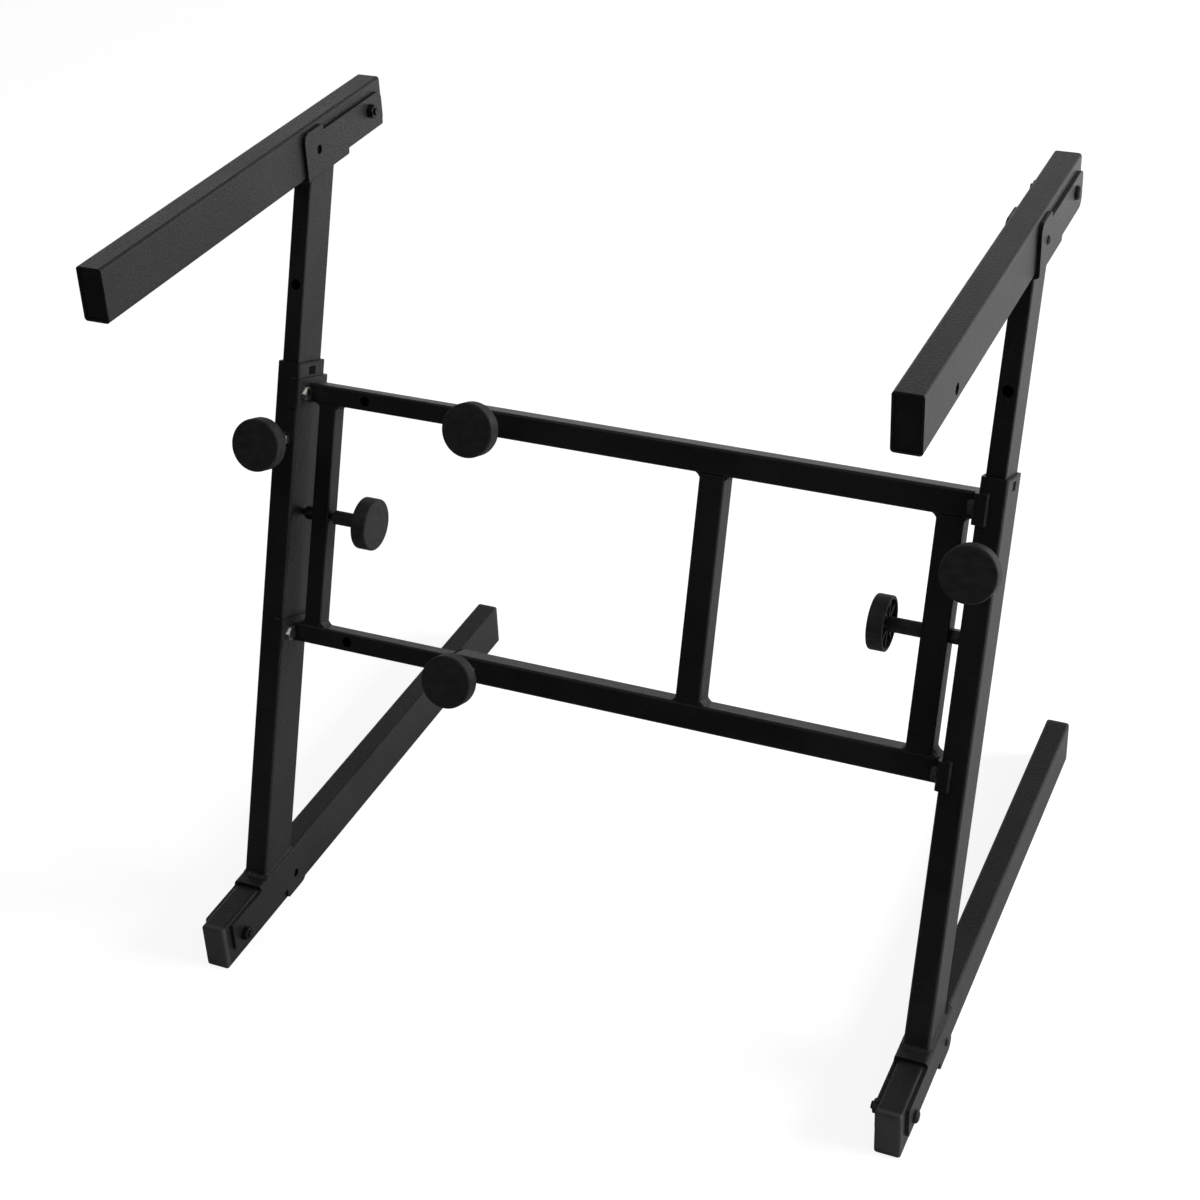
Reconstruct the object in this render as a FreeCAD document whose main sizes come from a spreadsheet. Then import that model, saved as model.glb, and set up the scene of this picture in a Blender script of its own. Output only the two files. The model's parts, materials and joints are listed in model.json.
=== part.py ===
import FreeCAD, Part
import os
import re
import Sketcher

# A folding two-arm keyboard stand. Each side frame is a foot, a leaning column, a sliding mast and an arm.
# A ladder of telescoping bars joins the two side frames. X runs along the keyboard, +Y to the back, +Z up.

# Driving sizes in millimetres, and the lean in degrees
SIZES = {
    # the stand as it is set in use
    "span": 560,
    "lean": 20,
    "arm_top": 619.5,
    # tube stock
    "wall": 1.5,
    "frame_wide": 20,
    "frame_deep": 40,
    "frame_corner": 2.5,
    "bar_side": 20,
    "bar_corner": 2,
    # clearances
    "slide_gap": 1,
    "seat_gap": 0.3,
    "liner_fit": 0.05,
    "pin_gap": 0.1,
    "screw_gap": 0.4,
    # arms and feet
    "arm_length": 388,
    "arm_ahead": 84,
    "arm_tail": 23.5,
    "arm_lock_reach": 81,
    "foot_length": 508,
    "foot_ahead": 73.5,
    "foot_nose": 25.4,
    "foot_lock_reach": 82.5,
    "aux_hole": 4,
    "aux_hole_ahead": 293.5,
    "aux_hole_drop": 10.5,
    # columns and masts
    "column_top": 462.5,
    "height_knob_at": 404,
    "mast_bottom": 193,
    "mast_pitch": 121,
    "clamp_hole": 4.2,
    "column_liner_deep": 30,
    "rim_high": 2,
    "tab_high": 6.4,
    "tab_long": 10,
    "tab_drop": 1.5,
    "tab_gap": 0.8,
    "plug_deep": 16,
    "plug_wall": 1.8,
    "plug_inset": 1,
    "cap_thick": 4.5,
    "cap_round": 2,
    # the ladder between the side frames
    "upper_bar_at": 441.4,
    "lower_bar_at": 246.8,
    "outer_bar_left": 124,
    "inner_bar_right": 110,
    "width_knob_at": 107,
    "bar_pitch": 111,
    "bar_liner_deep": 8,
    "middle_post_at": 72.3,
    "side_post_inset": 29.8,
    # saddle plates and their bolts
    "plate_thick": 2.5,
    "plate_high": 22.5,
    "plate_wrap": 7,
    "plate_bend": 3,
    "plate_bolt_across": 10,
    "plate_bolt_head": 4,
    "plate_bolt_radius": 3,
    "plate_bolt_beside": 1,
    # pressed brackets
    "sheet": 2.5,
    "sheet_bend": 3.2,
    "arm_web_front": 100.5,
    "arm_web_rear": 37.5,
    "arm_ear_tail": 19.5,
    "arm_ear_rise": 11,
    "arm_ear_drop": 16.5,
    "arm_lobe_rise": 15.9,
    "arm_lobe_long": 28,
    "foot_web_front": 31,
    "foot_web_rear": 96.5,
    "foot_ear_nose": 14.5,
    "foot_ear_rise": 18,
    "foot_ear_drop": 7.6,
    "foot_lobe_drop": 17,
    "foot_lobe_long": 29,
    "foot_ear_corner": 2,
    "ear_round": 7,
    "step_round": 1.8,
    # pivots and locks
    "pivot_radius": 3,
    "pivot_head_radius": 5.25,
    "pivot_head_high": 3.3,
    "nut_across": 10,
    "nut_high": 5,
    "tie_nut_high": 8,
    "lock_drop": 1.8,
    "button_radius": 3.4,
    "button_proud": 1.8,
    "button_flange": 1.5,
    "button_flange_radius": 5,
    "spring_sheet": 0.8,
    "spring_wide": 8,
    "spring_long": 38,
    # clamp knobs
    "rod_radius": 3,
    "knob_radius": 20.7,
    "knob_deep": 12.4,
    "knob_reach": 37,
    "knob_face": 3.2,
    "knob_rim": 2.4,
    "knob_round": 1.6,
    "knob_stem": 5.6,
    "knob_cover": 1.6,
    "knob_rib": 1.6,
    "thread_shown": 1.8,
}

KNOB_RIBS = 8

# Sizes that follow from the driving ones
FOLLOWING = {
    "axis_y": "(arm_ahead + foot_ahead - foot_length) / 2",
    "arm_mid": "arm_top - frame_deep / 2",
    "arm_pivot_y": "axis_y - arm_ahead + arm_length - arm_tail",
    "foot_mid": "frame_deep / 2",
    "foot_pivot_y": "axis_y - foot_ahead + foot_nose",
    "mast_wide": "frame_wide - 2 * wall - 2 * slide_gap",
    "mast_deep": "frame_deep - 2 * wall - 2 * slide_gap",
    "mast_corner": "frame_corner - wall / 2",
    "inner_side": "bar_side - 2 * wall - 2 * slide_gap",
    "inner_corner": "bar_corner - wall / 4",
    "tab_foot": "column_top - tab_drop - tab_high",
    "web_out": "frame_deep / 2 + seat_gap + sheet",
    "ear_out": "frame_wide / 2 + seat_gap + sheet",
    "bar_end": "span / 2 - frame_wide / 2 - plate_thick",
    "ladder_mid": "(upper_bar_at + lower_bar_at) / 2",
    "ladder_gap": "upper_bar_at - lower_bar_at",
    "side_post_at": "span / 2 - side_post_inset",
    "tie_stem_end": "side_post_at - bar_side / 2 - seat_gap",
    "stem_end": "nut_high + thread_shown",
}

SIDES = {"right": 1, "left": -1}

doc = FreeCAD.newDocument("keyboard_stand")
sheet = doc.addObject("Spreadsheet::Sheet", "sizes")
for row, (name, size) in enumerate(SIZES.items(), start=1):
    sheet.set(f"A{row}", name)
    sheet.set(f"B{row}", str(size))
    sheet.setAlias(f"B{row}", name)
doc.recompute()

nodes = []


def formula(text):
    """Writes a sum of named sizes the way the document's expressions name them."""
    def word(match):
        name = match[0]
        if name in SIZES:
            return f"sizes.{name}"
        if name in FOLLOWING:
            return f"({formula(FOLLOWING[name])})"
        return name
    return re.sub(r"[a-z][a-z0-9_]*", word, str(text))


def measure(text):
    """The present value of a sum of named sizes."""
    return float(sheet.evalExpression(formula(text)))


def keep(node):
    """Lists an object as a sub-part of the stand."""
    nodes.append(node)
    return node


def near(first, second):
    return abs(first - second) < measure("liner_fit") / 10


# Places: a placement formula for each side's leaning column, and for a point within another place

def column_place(side):
    return f"placement(vector({side} * span / 2; axis_y; 0); rotationx(-lean))"


def arm_place(side):
    return f"placement(vector({side} * span / 2; arm_pivot_y; arm_mid); rotationx(0))"


def foot_place(side):
    return f"placement(vector({side} * span / 2; foot_pivot_y; foot_mid); rotationx(0))"


LADDER_PLACE = "placement(vector(0; axis_y; 0); rotationx(-lean))"
FORWARD = "rotationx(90)"
LENGTHWISE = FreeCAD.Vector(0, 1, 0)


def within(place, x, y, z, turn="rotationx(0)"):
    return f"{place} * placement(vector({x}; {y}; {z}); {turn})"


def outward(side):
    """Turns an upright piece so that its top points away from the stand's middle."""
    return f"rotationy({90 * side})"


# Sketch drawing

def tie_point(sketch, shape, point, x, y):
    """Ties one point of a sketch to two formulas, measured from the sketch's origin."""
    for kind, text in (("DistanceX", x), ("DistanceY", y)):
        rule = Sketcher.Constraint(kind, -1, 1, shape, point, measure(text))
        number = sketch.addConstraint(rule)
        sketch.setExpression(f"Constraints[{number}]", formula(text))


def tie_radius(sketch, shape, radius):
    number = sketch.addConstraint(Sketcher.Constraint("Radius", shape, measure(radius)))
    sketch.setExpression(f"Constraints[{number}]", formula(radius))


def spot(point):
    return FreeCAD.Vector(measure(point[0]), measure(point[1]), 0)


def circle(x, y, radius):
    """A round loop for a sketch."""
    def draw(sketch):
        shape = sketch.addGeometry(Part.Circle(spot((x, y)), FreeCAD.Vector(0, 0, 1), measure(radius)))
        tie_point(sketch, shape, 3, x, y)
        tie_radius(sketch, shape, radius)
    return draw


def direction(start, end):
    """Which way an upright or level side runs, as a pair of -1, 0 or 1."""
    step = end - start
    return tuple(0 if near(part, 0) else int(part / abs(part)) for part in (step.x, step.y))


def outline(*corners):
    """A closed loop through corners, each (x, y), or (x, y, radius) between an upright and a level side."""
    def draw(sketch):
        places = [spot(corner) for corner in corners]
        joints = []
        for index, corner in enumerate(corners):
            x, y = corner[:2]
            if len(corner) == 2:
                joints.append([(x, y), (x, y)])
                continue
            ways = [direction(places[index], places[index - 1]),
                    direction(places[index], places[(index + 1) % len(corners)])]
            joints.append([(f"{x} + {way[0]} * ({corner[2]})", f"{y} + {way[1]} * ({corner[2]})") for way in ways])
        lines = []
        for index, (_, start) in enumerate(joints):
            end = joints[(index + 1) % len(joints)][0]
            line = sketch.addGeometry(Part.LineSegment(spot(start), spot(end)))
            tie_point(sketch, line, 1, *start)
            lines.append(line)
        for index, corner in enumerate(corners):
            before, after = lines[index - 1], lines[index]
            if len(corner) == 2:
                sketch.addConstraint(Sketcher.Constraint("Coincident", before, 2, after, 1))
                continue
            tie_point(sketch, before, 2, *joints[index][0])
            ends = [spot(joints[index][0]), spot(joints[index][1])]
            centre = ends[0] + ends[1] - places[index]
            out = places[index] - centre
            middle = centre + out.normalize() * measure(corner[2])
            # a sketch's arcs all run counterclockwise, so a concave corner's ends are swapped
            first = 1 if (ends[0] - centre).cross(ends[1] - centre).z > 0 else 2
            arc = sketch.addGeometry(Part.Arc(ends[first - 1], middle, ends[2 - first]))
            sketch.addConstraint(Sketcher.Constraint("Coincident", before, 2, arc, first))
            sketch.addConstraint(Sketcher.Constraint("Coincident", after, 1, arc, 3 - first))
            tie_radius(sketch, arc, corner[2])
    return draw


def box_loop(left, right, low, high, radius=None):
    """A rectangle, with rounded corners if it has a radius."""
    extra = (radius,) if radius else ()
    return outline((left, low, *extra), (right, low, *extra), (right, high, *extra), (left, high, *extra))


def section(wide, high, radius=None):
    """A rectangle about the sketch's origin."""
    return box_loop(f"-({wide}) / 2", f"({wide}) / 2", f"-({high}) / 2", f"({high}) / 2", radius)


class Piece:
    """A body whose sketches, features and place follow the sheet of sizes."""

    def __init__(self, label, place):
        self.body = doc.addObject("PartDesign::Body", label)
        self.body.Label = label
        self.body.setExpression("Placement", formula(place))

    def sketch(self, role, loops, lift):
        plane = next(face for face in self.body.Origin.OriginFeatures if face.Role == role)
        sketch = self.body.newObject("Sketcher::SketchObject", f"{self.body.Name}_sketch")
        sketch.AttachmentSupport = [(plane, "")]
        sketch.MapMode = "FlatFace"
        sketch.setExpression("AttachmentOffset.Base.z", formula(lift))
        for draw in loops:
            draw(sketch)
        return sketch

    def volume(self):
        doc.recompute()
        return self.body.Shape.Volume if self.body.Tip else 0

    def feature(self, kind, sketch, length, both, reverse):
        made = self.body.newObject(f"PartDesign::{kind}", f"{self.body.Name}_{kind.lower()}")
        made.Profile = sketch
        made.SideType = "Symmetric" if both else "One side"
        made.Reversed = reverse
        if length:
            made.setExpression("Length", formula(length))
        else:
            made.Type = "ThroughAll"
        return made

    def pad(self, role, loops, length, lift="0", both=False, reverse=False):
        """Grows the piece from a sketch along its plane's normal, or half each way."""
        before = self.volume()
        made = self.feature("Pad", self.sketch(role, loops, lift), length, both, reverse)
        if self.volume() <= before:
            raise ValueError(f"{self.body.Label}: a pad adds nothing")
        return made

    def cut(self, role, loops, way=0, length=None, lift="0"):
        """Cuts through the piece both ways, or one way along (1) or against (-1) the plane's normal."""
        before = self.volume()
        made = self.feature("Pocket", self.sketch(role, loops, lift), length, way == 0, way > 0)
        if self.volume() >= before:
            raise ValueError(f"{self.body.Label}: a pocket cuts nothing")
        return made

    def revolve(self, loops):
        """Turns a half section, drawn with x outwards and y up, once round the z axis."""
        sketch = self.sketch("XZ_Plane", loops, "0")
        made = self.body.newObject("PartDesign::Revolution", f"{self.body.Name}_revolution")
        made.Profile = sketch
        made.ReferenceAxis = (sketch, ["V_Axis"])
        made.Angle = 360
        doc.recompute()
        return made

    def repeat(self, feature, count):
        """Repeats a feature round the z axis."""
        pattern = self.body.newObject("PartDesign::PolarPattern", f"{self.body.Name}_pattern")
        pattern.Originals = [feature]
        axis = next(line for line in self.body.Origin.OriginFeatures if line.Role == "Z_Axis")
        pattern.Axis = (axis, [""])
        pattern.Angle = 360
        pattern.Occurrences = count
        self.body.Tip = pattern
        doc.recompute()

    def edges(self, test, along):
        """Names the edges whose ends both pass a test of x, y and z, or only those that run along an axis."""
        names = []
        for number, edge in enumerate(self.body.Tip.Shape.Edges, start=1):
            start, end = edge.Vertexes[0].Point, edge.Vertexes[-1].Point
            across = (end - start).cross(along).Length if along else 0
            if test(*start) and test(*end) and near(across, 0):
                names.append(f"Edge{number}")
        return names

    def soften(self, kind, size, test, along=None):
        """Rounds (Fillet) or bevels (Chamfer) the edges that pass a test."""
        doc.recompute()
        base, names = self.body.Tip, self.edges(test, along)
        if not names:
            raise ValueError(f"{self.body.Label}: no edge to soften")
        made = self.body.newObject(f"PartDesign::{kind}", f"{self.body.Name}_{kind.lower()}")
        made.Base = (base, names)
        made.setExpression("Radius" if kind == "Fillet" else "Size", formula(size))
        self.body.Tip = made
        doc.recompute()


def bind(part, **sizes):
    for name, text in sizes.items():
        part.setExpression(name, formula(text))


def group(label, parts):
    """One node that holds several separate solids."""
    made = doc.addObject("Part::Compound", label)
    made.Links = parts
    return keep(made)


def hexagon(label, across, length, place):
    """An upright six-sided prism, standing on its place."""
    prism = doc.addObject("Part::Prism", label)
    prism.Polygon = 6
    bind(prism, Circumradius=f"({across}) / sqrt(3)", Height=length, Placement=place)
    return prism


def cylinder(label, radius, length, place):
    rod = doc.addObject("Part::Cylinder", label)
    bind(rod, Radius=radius, Height=length, Placement=place)
    return rod


def hex_nut(label, length, place):
    """A hexagon nut whose corners are turned down at both faces."""
    blank = hexagon(f"{label}_blank", "nut_across", length, place)
    lathe = Piece(f"{label}_lathe", place)
    corner = "nut_across / sqrt(3)"
    lathe.revolve([outline(
        ("rod_radius + pin_gap", "0"),
        ("nut_across / 2", "0"),
        (corner, f"({corner} - nut_across / 2) * tan(30)"),
        (corner, f"{length} - ({corner} - nut_across / 2) * tan(30)"),
        ("nut_across / 2", length),
        ("rod_radius + pin_gap", length),
    )])
    nut = doc.addObject("Part::MultiCommon", label)
    nut.Shapes = [blank, lathe.body]
    return nut


# Side frames: tubes

def make_column(name, side):
    column = Piece(f"{name}_column", column_place(side))
    inside = section("frame_wide - 2 * wall", "frame_deep - 2 * wall", "frame_corner - wall / 2")
    column.pad("XY_Plane", [section("frame_wide", "frame_deep", "frame_corner"), inside], "column_top")
    # the foot end is mitred level, to stand on the bracket's web
    ledge = "(2 * foot_mid + seat_gap + sheet) / cos(lean)"
    rise = "frame_deep * tan(lean)"
    column.cut("YZ_Plane", [outline(
        ("-frame_deep", "-frame_deep"), ("frame_deep", "-frame_deep"),
        ("frame_deep", f"{ledge} + {rise}"), ("-frame_deep", f"{ledge} - {rise}"))])
    column.cut("XZ_Plane", [circle("0", "height_knob_at", "rod_radius + screw_gap")], way=1)
    beside = plate_bolt_offset(side)
    bolts = [circle(f"{end} * ({beside})", bar, "plate_bolt_radius")
             for end in (-1, 1) for bar in ("upper_bar_at", "lower_bar_at")]
    column.cut("YZ_Plane", bolts, way=-side)
    # windows for the bushing's snap tabs, in both wide walls
    column.cut("YZ_Plane", [box_loop("-tab_long / 2", "tab_long / 2", "tab_foot", "tab_foot + tab_high")])
    keep(column.body)


def make_mast(name, side):
    mast = Piece(f"{name}_mast", column_place(side))
    inside = section("mast_wide - 2 * wall", "mast_deep - 2 * wall", "mast_corner - wall / 2")
    mast.pad("XY_Plane", [section("mast_wide", "mast_deep", "mast_corner"), inside],
             "arm_top / cos(lean)", lift="mast_bottom")
    # the top is mitred level, to carry the bracket's web
    ledge = "(arm_mid - web_out) / cos(lean)"
    rise = "frame_deep * tan(lean)"
    mast.cut("YZ_Plane", [outline(
        ("-frame_deep", f"{ledge} - {rise}"), ("frame_deep", f"{ledge} + {rise}"),
        ("frame_deep", "2 * arm_top"), ("-frame_deep", "2 * arm_top"))])
    holes = [circle("0", f"height_knob_at + {step} * mast_pitch", "clamp_hole") for step in (-1, 0, 1)]
    mast.cut("XZ_Plane", holes, way=1)
    keep(mast.body)


def make_arm(name, side):
    arm = Piece(f"{name}_arm", arm_place(side))
    inside = section("frame_wide - 2 * wall", "frame_deep - 2 * wall", "frame_corner - wall / 2")
    arm.pad("XZ_Plane", [section("frame_wide", "frame_deep", "frame_corner"), inside],
            "arm_length", lift="-arm_tail")
    arm.cut("YZ_Plane", [circle("0", "0", "pivot_radius + pin_gap")])
    arm.cut("YZ_Plane", [circle("-arm_lock_reach", "-lock_drop", "button_radius + seat_gap"),
                         circle("-aux_hole_ahead", "-aux_hole_drop", "aux_hole")], way=side)
    keep(arm.body)


def make_foot(name, side):
    foot = Piece(f"{name}_foot", foot_place(side))
    inside = section("frame_wide - 2 * wall", "frame_deep - 2 * wall", "frame_corner - wall / 2")
    foot.pad("XZ_Plane", [section("frame_wide", "frame_deep", "frame_corner"), inside],
             "foot_length - 2 * cap_thick", lift="foot_nose - cap_thick", reverse=True)
    foot.cut("YZ_Plane", [circle("0", "0", "pivot_radius + pin_gap")])
    foot.cut("YZ_Plane", [circle("foot_lock_reach", "-lock_drop", "button_radius + seat_gap")], way=side)
    keep(foot.body)


# Plastic ends: a hollow plug, with an outer cap where it has one

def make_plug(label, place, wide, deep, corner, cap=None):
    """A plug that fills a tube's mouth below its place, with a cap above it if it has one."""
    plug = Piece(label, place)
    plug.pad("XY_Plane", [section(wide, deep, corner)], "plug_deep", reverse=True)
    plug.cut("XY_Plane", [section(f"{wide} - 2 * plug_wall", f"{deep} - 2 * plug_wall")],
             way=-1, length="plug_deep", lift="-plug_wall")
    if cap:
        cap_wide, cap_deep, cap_thick = cap
        plug.pad("XY_Plane", [section(cap_wide, cap_deep, "frame_corner")], cap_thick)
        top = measure(cap_thick)
        plug.soften("Fillet", "cap_round", lambda x, y, z: near(z, top))
    return plug.body


def make_ends(name, side):
    bore = ("frame_wide - 2 * wall - 2 * liner_fit", "frame_deep - 2 * wall - 2 * liner_fit", "frame_corner - wall / 2")
    arm, foot = arm_place(side), foot_place(side)
    arm_ends = [
        make_plug(f"{name}_arm_front_plug", within(arm, 0, "plug_inset + arm_tail - arm_length", 0, FORWARD), *bore),
        make_plug(f"{name}_arm_rear_plug", within(arm, 0, "arm_tail - plug_inset", 0, "rotationx(-90)"), *bore),
    ]
    group(f"{name}_arm_plugs", arm_ends)
    cap = ("frame_wide", "frame_deep", "cap_thick")
    foot_ends = [
        make_plug(f"{name}_foot_front_cap", within(foot, 0, "cap_thick - foot_nose", 0, FORWARD), *bore, cap),
        make_plug(f"{name}_foot_rear_cap", within(foot, 0, "foot_length - foot_nose - cap_thick", 0,
                                                  "rotationx(-90)"), *bore, cap),
    ]
    group(f"{name}_foot_caps", foot_ends)
    slider = ("frame_wide - 2 * wall - 2 * seat_gap", "frame_deep - 2 * wall - 2 * seat_gap")
    inside = ("mast_wide - 2 * wall - 2 * liner_fit", "mast_deep - 2 * wall - 2 * liner_fit",
              "mast_corner - wall / 2")
    foot_of_mast = within(column_place(side), 0, 0, "mast_bottom", "rotationx(180)")
    keep(make_plug(f"{name}_mast_plug", foot_of_mast, *inside, (*slider, "cap_thick")))


# Guide bushings: a rim on the tube's mouth and a liner between the two tubes

def make_bushing(label, place, wide, high, corner, inner_wide, inner_high, liner_deep):
    bushing = Piece(label, place)
    passage = section(f"{inner_wide} + 2 * seat_gap", f"{inner_high} + 2 * seat_gap")
    bushing.pad("XY_Plane", [section(wide, high, corner), passage], "rim_high")
    liner = section(f"{wide} - 2 * wall - 2 * liner_fit", f"{high} - 2 * wall - 2 * liner_fit",
                    f"{corner} - wall / 2")
    bushing.pad("XY_Plane", [liner, passage], liner_deep, reverse=True)
    return bushing


def make_column_bushing(name, side):
    top = within(column_place(side), 0, 0, "column_top")
    bushing = make_bushing(f"{name}_column_bushing", top, "frame_wide", "frame_deep", "frame_corner",
                           "mast_wide", "mast_deep", "column_liner_deep")
    # snap tabs that stand in the column's windows
    for wall_side in (-1, 1):
        inner, outer = "mast_wide / 2 + seat_gap", "frame_wide / 2"
        edges = sorted((f"{wall_side} * ({inner})", f"{wall_side} * ({outer})"), key=measure)
        bushing.pad("XZ_Plane", [box_loop(*edges, "tab_foot + tab_gap - column_top",
                                          "tab_foot + tab_high - tab_gap - column_top")],
                    "tab_long - 2 * tab_gap", both=True)
    keep(bushing.body)


# Pressed brackets

def make_arm_bracket(name, side):
    bracket = Piece(f"{name}_arm_bracket", arm_place(side))
    bracket.pad("YZ_Plane", [outline(
        ("-arm_web_front", "-web_out"),
        ("-arm_web_rear", "-web_out"),
        ("-arm_web_rear", "-arm_ear_drop", "step_round"),
        ("arm_ear_tail", "-arm_ear_drop", "ear_round"),
        ("arm_ear_tail", "arm_ear_rise", "ear_round"),
        ("arm_lobe_long - arm_web_front", "arm_ear_rise", "step_round"),
        ("arm_lobe_long - arm_web_front", "arm_lobe_rise", "step_round"),
        ("-arm_web_front", "arm_lobe_rise", "ear_round"),
    )], "2 * ear_out", both=True)
    bracket.soften("Fillet", "sheet_bend", lambda x, y, z: near(z, -measure("web_out")), LENGTHWISE)
    inside = "frame_wide / 2 + seat_gap"
    bracket.cut("XZ_Plane", [box_loop(f"-({inside})", inside, "sheet - web_out", "arm_top")])
    bracket.cut("YZ_Plane", [circle("0", "0", "pivot_radius"),
                             circle("-arm_lock_reach", "-lock_drop", "button_radius + seat_gap")])
    keep(bracket.body)


def make_foot_bracket(name, side):
    bracket = Piece(f"{name}_foot_bracket", foot_place(side))
    bracket.pad("YZ_Plane", [outline(
        ("foot_web_front", "web_out"),
        ("foot_web_front", "foot_ear_rise", "step_round"),
        ("-foot_ear_nose", "foot_ear_rise", "foot_ear_corner"),
        ("-foot_ear_nose", "-foot_ear_drop", "foot_ear_corner"),
        ("foot_web_rear - foot_lobe_long", "-foot_ear_drop", "step_round"),
        ("foot_web_rear - foot_lobe_long", "-foot_lobe_drop", "step_round"),
        ("foot_web_rear", "-foot_lobe_drop", "ear_round"),
        ("foot_web_rear", "web_out"),
    )], "2 * ear_out", both=True)
    bracket.soften("Fillet", "sheet_bend", lambda x, y, z: near(z, measure("web_out")), LENGTHWISE)
    inside = "frame_wide / 2 + seat_gap"
    bracket.cut("XZ_Plane", [box_loop(f"-({inside})", inside, "-arm_top", "web_out - sheet")])
    bracket.cut("YZ_Plane", [circle("0", "0", "pivot_radius"),
                             circle("foot_lock_reach", "-lock_drop", "button_radius + seat_gap")])
    keep(bracket.body)


# Pivots: a domed bolt through both ears, with a nut on the inner side

def make_pivot(label, place, side):
    bolt = Piece(f"{label}_bolt", within(place, 0, 0, 0, outward(side)))
    bolt.revolve([outline(
        ("0", "-ear_out - nut_high - thread_shown"),
        ("pivot_radius", "-ear_out - nut_high - thread_shown"),
        ("pivot_radius", "ear_out"),
        ("pivot_head_radius", "ear_out"),
        ("pivot_head_radius", "ear_out + pivot_head_high", "pivot_head_high * 0.9"),
        ("0", "ear_out + pivot_head_high"),
    )])
    nut = hex_nut(f"{label}_nut", "nut_high", within(place, f"{-side} * (ear_out)", 0, 0, outward(-side)))
    group(label, [bolt.body, nut])


# Locks: a snap button on a bent leaf spring inside the tube

def make_lock(label, place, side):
    flange_out = "frame_wide / 2 - wall - seat_gap"
    button = Piece(f"{label}_button", within(place, 0, 0, 0, outward(side)))
    button.revolve([outline(
        ("0", f"{flange_out} - button_flange"),
        ("button_flange_radius", f"{flange_out} - button_flange"),
        ("button_flange_radius", flange_out),
        ("button_radius", flange_out),
        ("button_radius", "ear_out + button_proud", "button_radius * 0.8"),
        ("0", "ear_out + button_proud"),
    )])
    keep(button.body)
    spring = Piece(f"{label}_spring", within(place, 0, 0, 0, f"rotationy({90 - 90 * side})"))
    near_leg = f"{flange_out} - button_flange"
    far_leg = "seat_gap + wall - frame_wide / 2"
    start, end = "-button_flange_radius", "spring_long"
    bend = f"({near_leg} - ({far_leg})) / 2 * 0.9"
    spring.pad("XY_Plane", [outline(
        (near_leg, start),
        (near_leg, end, bend),
        (far_leg, end, bend),
        (far_leg, start),
        (f"{far_leg} + spring_sheet", start),
        (f"{far_leg} + spring_sheet", f"{end} - spring_sheet", f"{bend} - spring_sheet"),
        (f"{near_leg} - spring_sheet", f"{end} - spring_sheet", f"{bend} - spring_sheet"),
        (f"{near_leg} - spring_sheet", start),
    )], "spring_wide", both=True)
    keep(spring.body)


# Saddle plates, which hold the ladder's bars to the columns, and their bolts

def plate_bolt_offset(side):
    bar = "bar_side" if side > 0 else "inner_side"
    return f"{bar} / 2 + plate_bolt_beside + plate_bolt_across / 2"


def make_plates(name, side):
    plates, bolts = [], []
    inner, outer = f"{-side} * frame_wide / 2", f"{-side} * (frame_wide / 2 + plate_thick)"
    lip = f"{-side} * (frame_wide / 2 - plate_wrap)"
    depth = "frame_deep / 2"
    for level in ("upper", "lower"):
        centre = within(column_place(side), 0, 0, f"{level}_bar_at")
        plate = Piece(f"{name}_{level}_plate", centre)
        plate.pad("XY_Plane", [outline(
            (lip, f"-{depth} - plate_thick"),
            (outer, f"-{depth} - plate_thick", "plate_bend"),
            (outer, f"{depth} + plate_thick", "plate_bend"),
            (lip, f"{depth} + plate_thick"),
            (lip, depth),
            (inner, depth),
            (inner, f"-{depth}"),
            (lip, f"-{depth}"),
        )], "plate_high", both=True)
        beside = plate_bolt_offset(side)
        plate.cut("YZ_Plane", [circle(f"{end} * ({beside})", "0", "plate_bolt_radius") for end in (-1, 1)])
        plates.append(plate.body)
        for end in (-1, 1):
            tag = f"{name}_{level}_{'front' if end < 0 else 'rear'}_bolt"
            seat = within(centre, outer, f"{end} * ({beside})", 0, outward(-side))
            tip = within(centre, f"{-side} * (frame_wide / 2 - wall)", f"{end} * ({beside})", 0, outward(-side))
            bolt = doc.addObject("Part::MultiFuse", tag)
            bolt.Shapes = [hexagon(f"{tag}_head", "plate_bolt_across", "plate_bolt_head", seat),
                           cylinder(f"{tag}_shank", "plate_bolt_radius", "wall + plate_thick + plate_bolt_head / 2", tip)]
            bolts.append(bolt)
    group(f"{name}_plates", plates)
    group(f"{name}_plate_bolts", bolts)


# The ladder

def make_bar(label, level, start, end, side_length, corner, holes, hole_radius):
    """A bar along x between two places, with holes in its front wall."""
    bar = Piece(label, within(LADDER_PLACE, 0, 0, f"{level}_bar_at"))
    inside = section(f"{side_length} - 2 * wall", f"{side_length} - 2 * wall", f"({corner}) - wall / 2")
    bar.pad("YZ_Plane", [section(side_length, side_length, corner), inside], f"({end}) - ({start})", lift=start)
    bar.cut("XZ_Plane", [circle(hole, "0", hole_radius) for hole in holes], way=1)
    keep(bar.body)


def make_post(label, place_x, side_length, corner, rod_hole):
    """A post between the two bars."""
    post = Piece(label, within(LADDER_PLACE, place_x, 0, "ladder_mid"))
    inside = section(f"{side_length} - 2 * wall", f"{side_length} - 2 * wall", f"({corner}) - wall / 2")
    post.pad("XY_Plane", [section(side_length, side_length, corner), inside],
             f"ladder_gap - {side_length}", both=True)
    if rod_hole:
        post.cut("YZ_Plane", [circle("0", "0", "rod_radius + screw_gap")])
    keep(post.body)


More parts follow.
